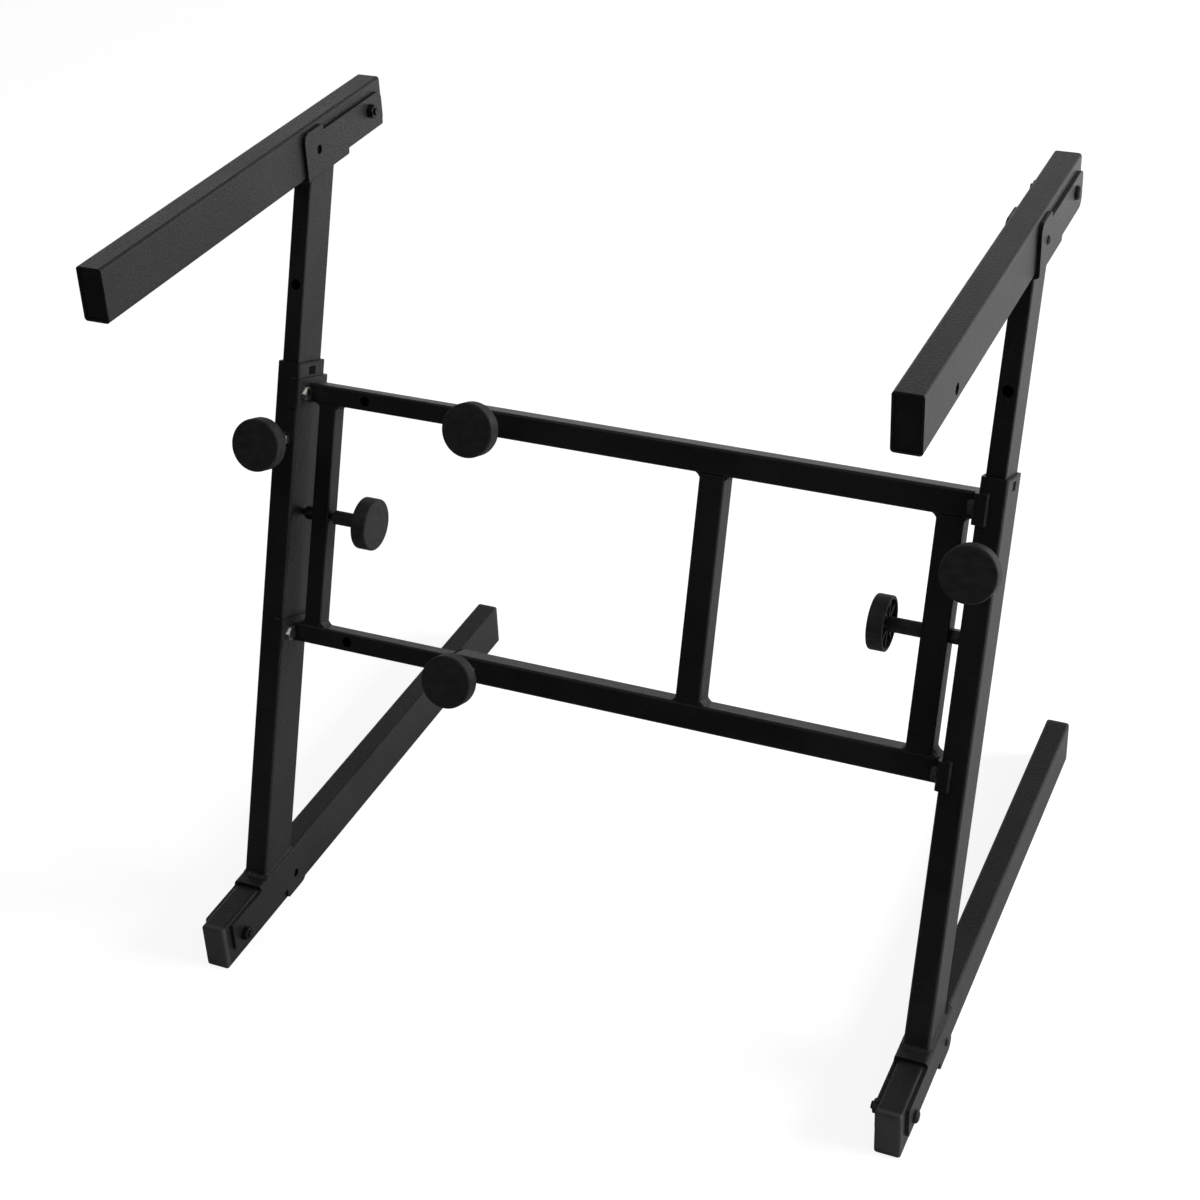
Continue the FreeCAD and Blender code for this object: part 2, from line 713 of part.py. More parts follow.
def make_ladder():
    """Makes the ladder and gives back the nuts on its outer bars."""
    bushings, nuts = [], []
    for level in ("upper", "lower"):
        make_bar(f"outer_{level}_bar", level, "rim_high - outer_bar_left", "bar_end", "bar_side", "bar_corner",
                 ["-width_knob_at"], "rod_radius + screw_gap")
        holes = [f"{step} * bar_pitch - width_knob_at" for step in (-1, 0, 1)]
        make_bar(f"inner_{level}_bar", level, "-(bar_end)", "inner_bar_right", "inner_side", "inner_corner",
                 holes, "clamp_hole")
        mouth = within(LADDER_PLACE, "rim_high - outer_bar_left", 0, f"{level}_bar_at", "rotationy(-90)")
        bushing = make_bushing(f"{level}_bar_bushing", mouth, "bar_side", "bar_side", "bar_corner",
                               "inner_side", "inner_side", "bar_liner_deep")
        bushings.append(bushing.body)
        face = within(LADDER_PLACE, "-width_knob_at", "-bar_side / 2", f"{level}_bar_at", FORWARD)
        nuts.append(hex_nut(f"{level}_bar_nut", "nut_high", face))
        make_clamp(f"{level}_width", within(LADDER_PLACE, "-width_knob_at", "-bar_side / 2 - stem_end",
                                            f"{level}_bar_at", FORWARD), "inner_side", "bar_side / 2")
    group("bar_bushings", bushings)
    make_post("middle_post", "middle_post_at", "bar_side", "bar_corner", False)
    make_post("right_post", "side_post_at", "bar_side", "bar_corner", True)
    make_post("left_post", "-side_post_at", "inner_side", "inner_corner", True)
    return nuts


# Clamp knobs, each moulded on the end of a threaded rod

def make_knob(label, place, rod_below):
    """A knob that stands on its stem's end, and a rod that reaches below it."""
    knob = Piece(f"{label}_knob", place)
    under_face = "knob_reach - knob_face"
    rim_foot = "knob_reach - knob_deep"
    knob.revolve([outline(
        ("rod_radius", "0"),
        ("knob_stem", "0"),
        ("knob_stem", under_face),
        ("knob_radius - knob_rim", under_face),
        ("knob_radius - knob_rim", rim_foot),
        ("knob_radius", rim_foot, "knob_rim / 3"),
        ("knob_radius", "knob_reach", "knob_round"),
        ("0", "knob_reach"),
        ("0", "knob_reach - knob_cover"),
        ("rod_radius", "knob_reach - knob_cover"),
    )])
    rib = knob.pad("XY_Plane", [box_loop("(knob_stem + rod_radius) / 2", "knob_radius - knob_rim / 2",
                                         "-knob_rib / 2", "knob_rib / 2")],
                   "knob_deep - knob_face - knob_rim / 2", lift=f"{rim_foot} + knob_rim / 2")
    knob.repeat(rib, KNOB_RIBS)
    keep(knob.body)
    rod = Piece(f"{label}_knob_rod", place)
    rod.pad("XY_Plane", [circle("0", "0", "rod_radius")], f"knob_reach - knob_cover + {rod_below}",
            lift=f"-({rod_below})")
    tip = -measure(rod_below)
    rod.soften("Chamfer", "rod_radius / 5", lambda x, y, z: near(z, tip))
    keep(rod.body)


def make_clamp(label, place, inner_deep, outer_half):
    """A knob whose rod passes a nut and the outer tube's wall, up to the inner tube's face."""
    make_knob(label, place, f"stem_end + {outer_half} - {inner_deep} / 2 - seat_gap")


def make_side_knobs(name, side):
    """Makes a side frame's two knobs and gives back the nut on its column."""
    face = within(column_place(side), 0, "-frame_deep / 2", "height_knob_at", FORWARD)
    front_nut = hex_nut(f"{name}_height_nut", "nut_high", face)
    stem = within(column_place(side), 0, "-frame_deep / 2 - stem_end", "height_knob_at", FORWARD)
    make_clamp(f"{name}_height", stem, "mast_deep", "frame_deep / 2")
    post_side = "bar_side" if side > 0 else "inner_side"
    post_face = within(LADDER_PLACE, f"{side} * (side_post_at + {post_side} / 2)", 0, "ladder_mid", outward(side))
    keep(hex_nut(f"{name}_tie_nut", "tie_nut_high", post_face))
    tie_stem = within(LADDER_PLACE, f"{side} * (tie_stem_end)", 0, "ladder_mid", outward(-side))
    make_knob(f"{name}_tie", tie_stem, "span / 2 - frame_wide / 2 - seat_gap - (tie_stem_end)")
    return front_nut


clamp_nuts = {}
for name, side in SIDES.items():
    make_column(name, side)
    make_column_bushing(name, side)
    make_mast(name, side)
    make_arm_bracket(name, side)
    make_arm(name, side)
    make_foot_bracket(name, side)
    make_foot(name, side)
    make_ends(name, side)
    make_pivot(f"{name}_arm_pivot", arm_place(side), side)
    make_pivot(f"{name}_foot_pivot", foot_place(side), side)
    make_lock(f"{name}_arm", within(arm_place(side), 0, "-arm_lock_reach", "-lock_drop"), side)
    make_lock(f"{name}_foot", within(foot_place(side), 0, "foot_lock_reach", "-lock_drop"), side)
    make_plates(name, side)
    clamp_nuts[name] = [make_side_knobs(name, side)]
clamp_nuts["right"] += make_ladder()
for name, nuts in clamp_nuts.items():
    group(f"{name}_nuts", nuts)

doc.recompute()
for item in doc.Objects:
    if {"Invalid", "Error"} & set(item.State):
        raise ValueError(f"{item.Label} is {item.State}")
for node in nodes:
    shape = node.Shape
    if shape.isNull() or not shape.isValid() or not shape.Solids:
        raise ValueError(f"{node.Label} has no valid solid")

os.makedirs("parts", exist_ok=True)
for node in nodes:
    node.Shape.exportStep(f"parts/{node.Label}.step")
    print(f"{node.Label}: {len(node.Shape.Solids)} solids, {node.Shape.Volume:.0f} mm3")
print(len(nodes), "sub-parts")
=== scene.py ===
# %% [markdown]
# # A folding keyboard stand, dressed for the camera
# The stand is black powder coated steel tube with a few moulded knobs, caps and plated fasteners.
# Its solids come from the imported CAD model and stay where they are. This lesson gives them their finishes,
# adds the weld beads, cut threads and chamfered hexagons that the solids leave out, and sets up the studio.
# Everything is in metres: X runs along the keyboard, +Y to the back and +Z up.

import json
import math
import random
from collections import namedtuple

import bpy
from mathutils import Matrix, Vector


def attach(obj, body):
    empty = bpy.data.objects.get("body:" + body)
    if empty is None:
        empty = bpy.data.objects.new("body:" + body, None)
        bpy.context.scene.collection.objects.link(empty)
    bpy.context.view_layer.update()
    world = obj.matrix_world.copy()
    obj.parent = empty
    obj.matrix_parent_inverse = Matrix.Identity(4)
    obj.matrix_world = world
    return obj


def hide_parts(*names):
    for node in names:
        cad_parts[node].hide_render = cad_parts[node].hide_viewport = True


MM = 0.001
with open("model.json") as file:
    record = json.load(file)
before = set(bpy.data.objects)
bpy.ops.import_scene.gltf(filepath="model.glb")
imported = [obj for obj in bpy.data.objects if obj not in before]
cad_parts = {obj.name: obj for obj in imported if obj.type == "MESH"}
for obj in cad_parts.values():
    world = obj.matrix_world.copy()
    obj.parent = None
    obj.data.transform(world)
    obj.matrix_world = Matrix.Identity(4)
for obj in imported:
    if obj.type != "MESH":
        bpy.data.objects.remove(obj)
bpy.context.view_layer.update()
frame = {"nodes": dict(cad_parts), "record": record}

# %% [markdown]
# ## The camera
# The photograph looks down on the stand from the front right, with a short telephoto lens held a little
# askew. Its place was worked out from the straight edges of the tubes, which a camera can be solved from.
# A small shift of the lens takes up where the picture was cropped.

# %% Set the camera
LENS, SENSOR = 67.0988, 36.0
SHIFT_X, SHIFT_Y = 0.014917, -0.041238
NEAR, FAR = 0.05, 100.0
EYE_AT = (0.59062, -1.36105, 1.21258)
HEADING, DIP, ASKEW, LEVEL = 25.30823519, -31.29604286, 3.05077029, 90

eye = bpy.data.cameras.new("camera")
eye.lens, eye.sensor_width = LENS, SENSOR
eye.shift_x, eye.shift_y = SHIFT_X, SHIFT_Y
eye.clip_start, eye.clip_end = NEAR, FAR
camera = bpy.data.objects.new("camera", eye)
bpy.context.scene.collection.objects.link(camera)
bpy.context.scene.camera = camera
place = Matrix.Translation(EYE_AT)
for degrees, axis in ((HEADING, "Z"), (DIP, "X"), (ASKEW, "Y"), (LEVEL, "X")):
    place = place @ Matrix.Rotation(math.radians(degrees), 4, axis)
camera.matrix_world = place
print("camera looks along", [round(part, 3) for part in place.to_3x3() @ Vector((0, 0, -1))])

# %% [markdown]
# ## Arithmetic on shader sockets
# A finish is easiest to read as a formula, such as `0.4 + 0.1 * mottle`. The class below wraps one output
# socket and turns each sum into the node that works it out: Math for numbers, and Vector Math for vectors.
# Colours aren't added up here. A Mix node mixes them, because a Math node would turn a colour grey.


# %% Wrap a socket
class Wire:
    """One output socket of a finish, ready for arithmetic."""

    def __init__(self, finish, socket):
        self.finish, self.socket = finish, socket

    def combine(self, operation, first, second):
        kind = "ShaderNodeVectorMath" if self.socket.type == "VECTOR" else "ShaderNodeMath"
        return self.finish.node(kind, {"operation": operation}, {0: first, 1: second})

    def __add__(self, other):
        return self.combine("ADD", self, other)

    def __radd__(self, other):
        return self.combine("ADD", other, self)

    def __sub__(self, other):
        return self.combine("SUBTRACT", self, other)

    def __rsub__(self, other):
        return self.combine("SUBTRACT", other, self)

    def __mul__(self, other):
        return self.combine("MULTIPLY", self, other)

    def __rmul__(self, other):
        return self.combine("MULTIPLY", other, self)


print("a wire can be added, subtracted and multiplied")

# %% [markdown]
# Every other node comes from one method. It takes the node's type, its settings, and then a value or a wire
# for each socket. A noise is fixed to the piece by its Object coordinates, which are in metres here, so its
# scale is simply the number of lumps to the metre.


# %% Add nodes to a finish
class Finish:
    """The nodes of a material, or of the world."""

    def __init__(self, tree):
        self.tree = tree
        self.tree.nodes.clear()

    def node(self, kind, settings=None, sockets=None, output=0):
        """Adds a node of any kind, and gives the wire from one of its outputs."""
        made = self.tree.nodes.new(kind)
        for name, value in (settings or {}).items():
            setattr(made, name, value)
        for name, value in (sockets or {}).items():
            if isinstance(value, Wire):
                self.tree.links.new(value.socket, made.inputs[name])
            elif made.inputs[name].type == "RGBA":
                made.inputs[name].default_value = (*value, 1)
            else:
                made.inputs[name].default_value = value
        return Wire(self, made.outputs[output]) if made.outputs else None

    def here(self):
        """The place on the piece, in metres."""
        return self.node("ShaderNodeTexCoord", output="Object")

    def noise(self, per_metre, detail=2.0, where=None):
        """Noise with so many lumps to the metre."""
        sockets = {"Vector": where or self.here(), "Scale": per_metre, "Detail": detail}
        return self.node("ShaderNodeTexNoise", {}, sockets)

    def grit(self, per_metre):
        """Soft round cells, so many to the metre."""
        sockets = {"Vector": self.here(), "Scale": per_metre}
        return self.node("ShaderNodeTexVoronoi", {"feature": "SMOOTH_F1"}, sockets)


finishes = {}


def new_finish(name):
    """Starts a material, keeps it by its name and gives its empty nodes."""
    material = bpy.data.materials.new(name)
    material.use_nodes = True
    finishes[name] = material
    return Finish(material.node_tree)


print("a finish is made of nodes, one formula at a time")

# %% [markdown]
# A noise lies mostly near its middle, so `spread` stretches the part that matters over 0 to 1. `blend` mixes
# two colours by such a value, and `bump` makes a relief of it. `principled` ends a material in the shader
# that fits metal and plastic alike.


# %% Spread, blend, bump and end
def spread(value, low, high):
    """Stretches the range from low to high over 0 to 1, and clips the value there."""
    return value.finish.node("ShaderNodeMapRange", {}, {"Value": value, "From Min": low, "From Max": high})


def blend(first, second, share):
    """Mixes two colours: Mix keeps its colour sockets at 6 and 7, and its colour result at 2."""
    return share.finish.node("ShaderNodeMix", {"data_type": "RGBA"}, {0: share, 6: first, 7: second}, 2)


def bump(height, depth, strength, under=None):
    """A normal that follows a height from 0 to 1, depth metres deep, on top of another such normal."""
    sockets = {"Height": height, "Distance": depth, "Strength": strength}
    if under:
        sockets["Normal"] = under
    return height.finish.node("ShaderNodeBump", {}, sockets)


def principled(finish, **sockets):
    """Ends a material in a Principled shader, whose sockets are given by name."""
    named = {name.replace("_", " "): value for name, value in sockets.items()}
    shader = finish.node("ShaderNodeBsdfPrincipled", {}, named)
    finish.node("ShaderNodeOutputMaterial", {}, {"Surface": shader})


print("three helpers, and the shader that ends each material")

# %% [markdown]
# ## Black powder coat
# The frame is neither dipped nor brushed: dry powder clings to the charged steel and is melted in an oven.
# It flows out almost smooth, but keeps a faint orange peel about a millimetre and a half across, and it is
# thinner and shinier on corners, which are also painted paler as a painted highlight. Two noises make the
# peel and its grain, and a slow one the oven's uneven gloss. A Bevel node rounds the normal off near a
# corner, so a corner is where it leaves the flat normal.

# %% Mix the powder coat
FLAT_UP_TO, CORNER_FROM = 0.02, 0.25
COAT_DARK, COAT_PALE = (0.0095, 0.0095, 0.0099), (0.0145, 0.0145, 0.0150)
COAT_CORNER_HIGHLIGHT = (0.030, 0.030, 0.0305)


def dot(finish, first, second):
    """The dot product of two vectors, which is a number."""
    return finish.node("ShaderNodeVectorMath", {"operation": "DOT_PRODUCT"}, {0: first, 1: second}, "Value")


def edges(finish, reach):
    """1 along the corners of a piece and 0 on its flats, from a normal that is rounded off within reach."""
    rounded = finish.node("ShaderNodeBevel", {"samples": 4}, {"Radius": reach})
    flat = finish.node("ShaderNodeNewGeometry", output="Normal")
    return spread(1 - dot(finish, rounded, flat), FLAT_UP_TO, CORNER_FROM)


coat = new_finish("powder_coat")
peel = coat.noise(620.0, detail=2.0)
grain = coat.noise(1900.0, detail=1.0)
cloud = spread(coat.noise(16.0, detail=3.0), 0.35, 0.65)
corner = edges(coat, 1.2 * MM)
# The paler colour on the corners is a painted highlight along the edges, not a colour of the coat.
tone = blend(blend(COAT_DARK, COAT_PALE, cloud), COAT_CORNER_HIGHLIGHT, 0.55 * corner)
relief = bump(grain, 0.10 * MM, 0.7, under=bump(peel, 0.60 * MM, 0.7))
principled(coat, Base_Color=tone, Roughness=0.26 + 0.06 * cloud + 0.10 * grain - 0.05 * corner,
           Normal=relief, IOR=1.5, Specular_IOR_Level=0.36)
print("powder coat:", len(coat.tree.nodes), "nodes")

# %% [markdown]
# ## Moulded knobs
# The knobs are injection moulded on their rods. The steel mould's face was spark eroded, which leaves an
# even, fine grit on the plastic, a little greyer than the coat beside it. Voronoi cells four tenths of a
# millimetre across look like that grit. The melt's flow marks are a noise that is drawn out along X.

# %% Mould the knobs
KNOB_DARK, KNOB_PALE, KNOB_RIM_HIGHLIGHT = (0.0100, 0.0100, 0.0103), (0.0215, 0.0215, 0.0220), (0.022, 0.022, 0.022)
DRAWN_ALONG_X = (0.45, 1.0, 1.0)

knob = new_finish("knob_plastic")
grit = knob.grit(2600.0)
flow = spread(knob.noise(240.0, detail=3.0, where=knob.here() * DRAWN_ALONG_X), 0.3, 0.7)
# The rims are painted paler as a painted highlight, and are made a little smoother.
rim_highlight = edges(knob, 0.8 * MM)
tone = blend(blend(KNOB_DARK, KNOB_PALE, flow), KNOB_RIM_HIGHLIGHT, 0.5 * rim_highlight)
principled(knob, Base_Color=tone, Roughness=0.58 - 0.08 * rim_highlight + 0.06 * grit,
           Normal=bump(grit, 0.07 * MM, 0.5), IOR=1.48)
print("knobs:", len(knob.tree.nodes), "nodes")

# %% [markdown]
# ## Caps and plugs
# The caps of the feet and the plugs of the arms are a greyer plastic with a coarser grit. They take the
# knocks of packing and carrying, so small patches of a faster noise are scuffed paler and rougher.

# %% Mould the caps
CAP_DARK, CAP_PALE, CAP_SCUFFED = (0.026, 0.026, 0.0266), (0.037, 0.037, 0.0377), (0.06, 0.06, 0.06)

cap = new_finish("cap_plastic")
grit = cap.grit(2000.0)
flow = spread(cap.noise(40.0, detail=3.0), 0.3, 0.7)
scuff = spread(cap.noise(210.0, detail=4.0), 0.58, 0.72)
tone = blend(blend(CAP_DARK, CAP_PALE, flow), CAP_SCUFFED, 0.35 * scuff)
principled(cap, Base_Color=tone, Roughness=0.60 + 0.08 * scuff, Normal=bump(grit, 0.09 * MM, 0.5), IOR=1.48)
print("caps:", len(cap.tree.nodes), "nodes")

# %% [markdown]
# ## Guide bushings
# A slick bushing guides each mast in its column. Its rim has a shine, but in the windows of the column the
# plastic lies in the dark of the tube and looks matt, so below the rim that shade is painted in as a
# near-black colour. One material can do both, because the dot product of a place with the column's direction
# says how far up the stand it lies in that direction.

# %% Mould the bushings
LEAN = math.radians(20)
RIM_FROM, RIM_TO = 401.8 * MM, 402.4 * MM
GUIDE_DARK, GUIDE_PALE = (0.0085, 0.0085, 0.0088), (0.0135, 0.0135, 0.0139)
TUBE_SHADE_PAINTED = (0.0020, 0.0020, 0.0021)
up_the_column = Vector((0, math.sin(LEAN), math.cos(LEAN)))

guide = new_finish("bushing_plastic")
flow = spread(guide.noise(70.0, detail=3.0), 0.3, 0.7)
rub = spread(guide.noise(420.0, detail=2.0), 0.45, 0.75)
rim = spread(dot(guide, guide.here(), up_the_column), RIM_FROM, RIM_TO)
# Below the rim the plastic is painted near black: painted shade of the tube.
tone = blend(TUBE_SHADE_PAINTED, blend(GUIDE_DARK, GUIDE_PALE, flow), rim)
principled(guide, Base_Color=tone, Roughness=0.95 - 0.55 * rim + 0.05 * rub,
           Normal=bump(rub, 0.04 * MM, 0.4), IOR=1.5, Specular_IOR_Level=0.3)
print("bushings:", len(guide.tree.nodes), "nodes")

# %% [markdown]
# ## Zinc
# Most bolts and nuts are zinc plated: bright, faintly blue in places and yellow in others, and clouded
# where the plating bath ran slower. Their corners are rubbed bright by the spanner.

# %% Plate the fasteners
ZINC_BLUE, ZINC_YELLOW, ZINC_RUBBED = (0.50, 0.52, 0.55), (0.60, 0.58, 0.53), (0.74, 0.74, 0.74)

zinc = new_finish("zinc")
cloud = spread(zinc.noise(160.0, detail=4.0), 0.35, 0.65)
tint = spread(zinc.noise(90.0, detail=2.0), 0.4, 0.6)
scratch = zinc.noise(1800.0, detail=5.0)
corner = edges(zinc, 0.6 * MM)
tone = blend(blend(ZINC_BLUE, ZINC_YELLOW, tint), ZINC_RUBBED, 0.6 * corner)
principled(zinc, Base_Color=tone, Metallic=1.0, Roughness=0.24 + 0.16 * cloud - 0.06 * corner,
           Normal=bump(scratch, 0.03 * MM, 0.35))
print("zinc:", len(zinc.tree.nodes), "nodes")

# %% [markdown]
# ## Blackened steel
# The knobs' rods and a few fasteners are blackened in hot oil. That wears off at the crests of a thread and
# the corners of a head first, so the bare steel shows through there.

# %% Blacken the rods
OIL_DARK, OIL_BROWN, BARE_CREST = (0.030, 0.030, 0.032), (0.055, 0.053, 0.050), (0.24, 0.24, 0.24)

black = new_finish("black_steel")
oil = spread(black.noise(260.0, detail=3.0), 0.35, 0.7)
crest = edges(black, 0.3 * MM)
tone = blend(blend(OIL_DARK, OIL_BROWN, oil), BARE_CREST, 0.7 * crest)
principled(black, Base_Color=tone, Metallic=0.85, Roughness=0.30 + 0.15 * oil,
           Normal=bump(oil, 0.03 * MM, 0.4))
print("blackened steel:", len(black.tree.nodes), "nodes")

# %% [markdown]
# ## Spring strip
# The leaf springs are bare strip, stained a little, with the fine lines that the rolls left along its
# length. The strips lie along Y, so those lines are a noise that is drawn out along Y.

# %% Roll the spring strip
STRIP_CLEAN, STRIP_STAINED = (0.42, 0.42, 0.44), (0.33, 0.31, 0.28)
DRAWN_ALONG_Y = (1.0, 0.04, 1.0)

strip = new_finish("spring_steel")
lines = strip.noise(2600.0, detail=3.0, where=strip.here() * DRAWN_ALONG_Y)
stain = spread(strip.noise(120.0, detail=3.0), 0.4, 0.65)
principled(strip, Base_Color=blend(STRIP_CLEAN, STRIP_STAINED, stain), Metallic=1.0,
           Roughness=0.26 + 0.14 * lines, Normal=bump(lines, 0.02 * MM, 0.5))
print("spring strip:", len(strip.tree.nodes), "nodes")

# %% [markdown]
# ## Dressing the CAD solids
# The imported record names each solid's finish, so the solids are dressed by that list. A CAD object is
# never moved or remeshed here: only its material slots change.

# %% Give each solid its finish
dressed = {}
for part in frame["record"]["subparts"]:
    for name in part.get("nodes", [part.get("node")]):
        for slot in frame["nodes"][name].material_slots:
            slot.material = finishes[part["material_slot"]]
        dressed[name] = part["material_slot"]
print("dressed:", len(dressed), "of", len(frame["nodes"]))

# %% [markdown]
# ## Places on the leaning frame
# The columns lean back by 20 degrees, and the ladder between them leans with them. A place there is easiest
# to give as if they stood upright: across the stand, back from the columns' middle, and up the column. One
# matrix then leans such a place back, and puts it over the line where the columns' middles meet the floor.

# %% Lean a place back
COLUMNS_MEET_FLOOR = -175.25 * MM
BAR_ROWS = (246.8 * MM, 441.4 * MM)

leaning = Matrix.Translation((0, COLUMNS_MEET_FLOOR, 0)) @ Matrix.Rotation(-LEAN, 4, "X")
forward = Vector((0, -math.cos(LEAN), math.sin(LEAN)))
print("the bars lie", [round((leaning @ Vector((0, 0, row))).z, 4) for row in BAR_ROWS], "above the floor")

# %% [markdown]
# The two sides differ only in the ladder. The right one has the wide bars and two posts, and the left one
# the narrow bars, which slide in the wide ones, and one post. `way` is the side's way from the middle.

# %% Measure the sides
COLUMN_AT, COLUMN_HALF_DEEP = 280 * MM, 20 * MM
PLATE_FACE = 267.5 * MM

Side = namedtuple("Side", "way bar_half bar_corner posts_at bolts_beside")
SIDES = {
    "right": Side(1, 10 * MM, 2 * MM, (72.3 * MM, 250.2 * MM), 16 * MM),
    "left": Side(-1, 7.5 * MM, 1.625 * MM, (-250.2 * MM,), 13.5 * MM),
}
print("bars:", {name: f"{2000 * side.bar_half:g} mm" for name, side in SIDES.items()})

# %% [markdown]
# ## Mesh pieces
# Each added piece is a skin over rings of points, one ring after the other. A sweep that comes back to its
# start is closed, and any other gets a face over each end.


# %% Add a mesh piece
def add_piece(name, points, faces, body, slot, smooth=True):
    """Makes a mesh piece with one finish, which moves with a body of the stand."""
    mesh = bpy.data.meshes.new(name)
    mesh.from_pydata(points, [], faces)
    mesh.polygons.foreach_set("use_smooth", [smooth] * len(faces))
    mesh.materials.append(finishes[slot])
    piece = bpy.data.objects.new(name, mesh)
    bpy.context.scene.collection.objects.link(piece)
    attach(piece, body)
    return piece


def swept(rings, closed):
    """The points of the rings and the faces between them, with the ends capped where the sweep is open."""
    count, around = len(rings), len(rings[0])
    faces = []
    for row in range(count if closed else count - 1):
        near, far = row * around, (row + 1) % count * around
        faces += [(near + at, near + (at + 1) % around, far + (at + 1) % around, far + at)
                  for at in range(around)]
    if not closed:
        faces += [tuple(reversed(range(around))), tuple(range((count - 1) * around, count * around))]
    return [point for ring in rings for point in ring], faces


def merge(parts):
    """Joins several lists of points and faces into one."""
    points, faces = [], []
    for more, rows in parts:
        faces += [tuple(at + len(points) for at in row) for row in rows]
        points += more
    return points, faces


print("a piece is points and faces, a finish, and the body that it rides on")

# %% [markdown]
# ## Weld beads
# The tubes were joined by an arc before they were coated, so each joint keeps a small fillet. A bead is
# swept along the corner where two walls meet. At each station its section reaches out along one wall and
# up the other, with a hollow face between, and its legs swell and sink in ripples as the torch moved on.

# %% Sweep a bead
RUN = 6 * MM
WAVES, WAVE_LOW, WAVE_HIGH, SLOWEST, FASTEST = 4, 0.04, 0.08, 0.5, 6.0
WHOLE_TURN = 6.28
RIPPLE, RIPPLES_A_RUN = 0.05, 4
END_SHARE, GROWTH_A_STATION = 0.72, 0.14
FACE_POINTS, FACE_STEP, HOLLOW = 7, 15, 2.5


def start_waves(dice):
    """The slow waves of one bead: how high, how fast and where they start."""
    return [(dice.uniform(WAVE_LOW, WAVE_HIGH), dice.uniform(SLOWEST, FASTEST), dice.uniform(0, WHOLE_TURN))
            for _ in range(WAVES)]


def bead(stations, legs, sink, dice, closed=False):
    """A bead along stations, each a corner point with its way out along one wall and up the other."""
    waves = start_waves(dice)
    rings, run = [], 0.0
    for index, (corner_point, out, up) in enumerate(stations):
        if index:
            run += (corner_point - stations[index - 1][0]).length / RUN
        swell = 1 + sum(high * math.sin(fast * run + start) for high, fast, start in waves)
        swell += RIPPLE * math.sin(run * WHOLE_TURN * RIPPLES_A_RUN)
        if not closed:
            from_end = min(index, len(stations) - 1 - index)
            swell *= min(1.0, END_SHARE + GROWTH_A_STATION * from_end)
        wide, tall = legs[0] * swell, legs[1] * swell
        section = [(wide, -sink)]
        for step in range(FACE_POINTS):
            angle = math.radians(FACE_STEP * step)
            section.append((wide * math.cos(angle) ** HOLLOW, tall * math.sin(angle) ** HOLLOW))
        section += [(-sink, tall), (-sink, -sink)]
        rings.append([corner_point + across * out + along * up for across, along in section])
    return swept(rings, closed)


print("a bead's hollow face has", FACE_POINTS, "points across")

# %% [markdown]
# A bead that goes all round a tube needs stations on the tube's outline, closely spaced, with the way out at
# each. The outline is walked a quarter at a time: along one flat, and then round the corner after it.

# %% Walk round a tube
STATION = 0.6 * MM
CORNER_STATIONS, CORNER_STEP = 5, 18


def round_tube(half_x, half_y, corner):
    """Points and outward directions around a tube's rounded section, in its own plane."""
    found = []
    for quarter in range(4):
        turn = math.radians(90 * quarter)
        flat_x, flat_y = (half_x, half_y) if quarter % 2 == 0 else (half_y, half_x)
        reach = flat_y - corner
        rows = max(2, round(2 * reach / STATION))
        side = [(flat_x, -reach + 2 * reach * at / rows, 0.0) for at in range(rows)]
        side += [(flat_x - corner + corner * math.cos(bend), reach + corner * math.sin(bend), bend)
                 for bend in (math.radians(CORNER_STEP * at) for at in range(CORNER_STATIONS))]
        for x, y, bend in side:
            point = (x * math.cos(turn) - y * math.sin(turn), x * math.sin(turn) + y * math.cos(turn), 0)
            found.append((Vector(point), Vector((math.cos(turn + bend), math.sin(turn + bend), 0))))
    return found


print("stations round a wide bar:", len(round_tube(10 * MM, 10 * MM, 2 * MM)))

# %% [markdown]
# The posts stand between the bars and are welded on both flanks. The bars' ends are welded all round to
# their plates.

# %% Weld the posts and bars
POST_LEGS, POST_SINK, POST_SHORT, POST_STEPS = (3.6 * MM, 3.6 * MM), 0.8 * MM, 0.6 * MM, 40
BAR_LEGS, THIN_SINK = (1.0 * MM, 2.4 * MM), 0.2 * MM


def post_welds(post_at, half, dice):
    """The four fillets of a post: on each flank, above the lower bar and below the upper one."""
    reach = half - POST_SHORT
    beads = []
    for row, rise in zip(BAR_ROWS, (1, -1)):
        for flank in (-1, 1):
            line = [(leaning @ Vector((post_at + flank * half, reach * (2 * at / POST_STEPS - 1),
                                       row + rise * half)),
                     Vector((flank, 0, 0)), rise * up_the_column) for at in range(POST_STEPS + 1)]
            beads.append(bead(line, POST_LEGS, POST_SINK, dice))
    return beads


def bar_weld(side, row, dice):
    """The bead all round a bar's end, against its plate."""
    line = [(leaning @ Vector((side.way * PLATE_FACE, point.x, row + point.y)),
             leaning.to_3x3() @ Vector((0, out.x, out.y)), Vector((-side.way, 0, 0)))
            for point, out in round_tube(side.bar_half, side.bar_half, side.bar_corner)]
    return bead(line, BAR_LEGS, THIN_SINK, dice, closed=True)


print("a post's fillets have", POST_STEPS + 1, "stations each")

# %% [markdown]
# Each plate wraps round the front of its column in a lip, and a thin bead runs along the lip's free edge. It
# starts a little way in along the top, turns down the edge, and turns back along the foot. Each station
# below is how far across it lies from the edge, how high, and how many degrees its way out is turned up.

# %% Weld the lips
LIP_EDGE, LIP_HALF_HIGH, LIP_STEP, LIP_STEPS, LIP_RETURN = 277, 11.25, 0.75, 30, 4
LIP_LEGS = (1.1 * MM, 2.1 * MM)


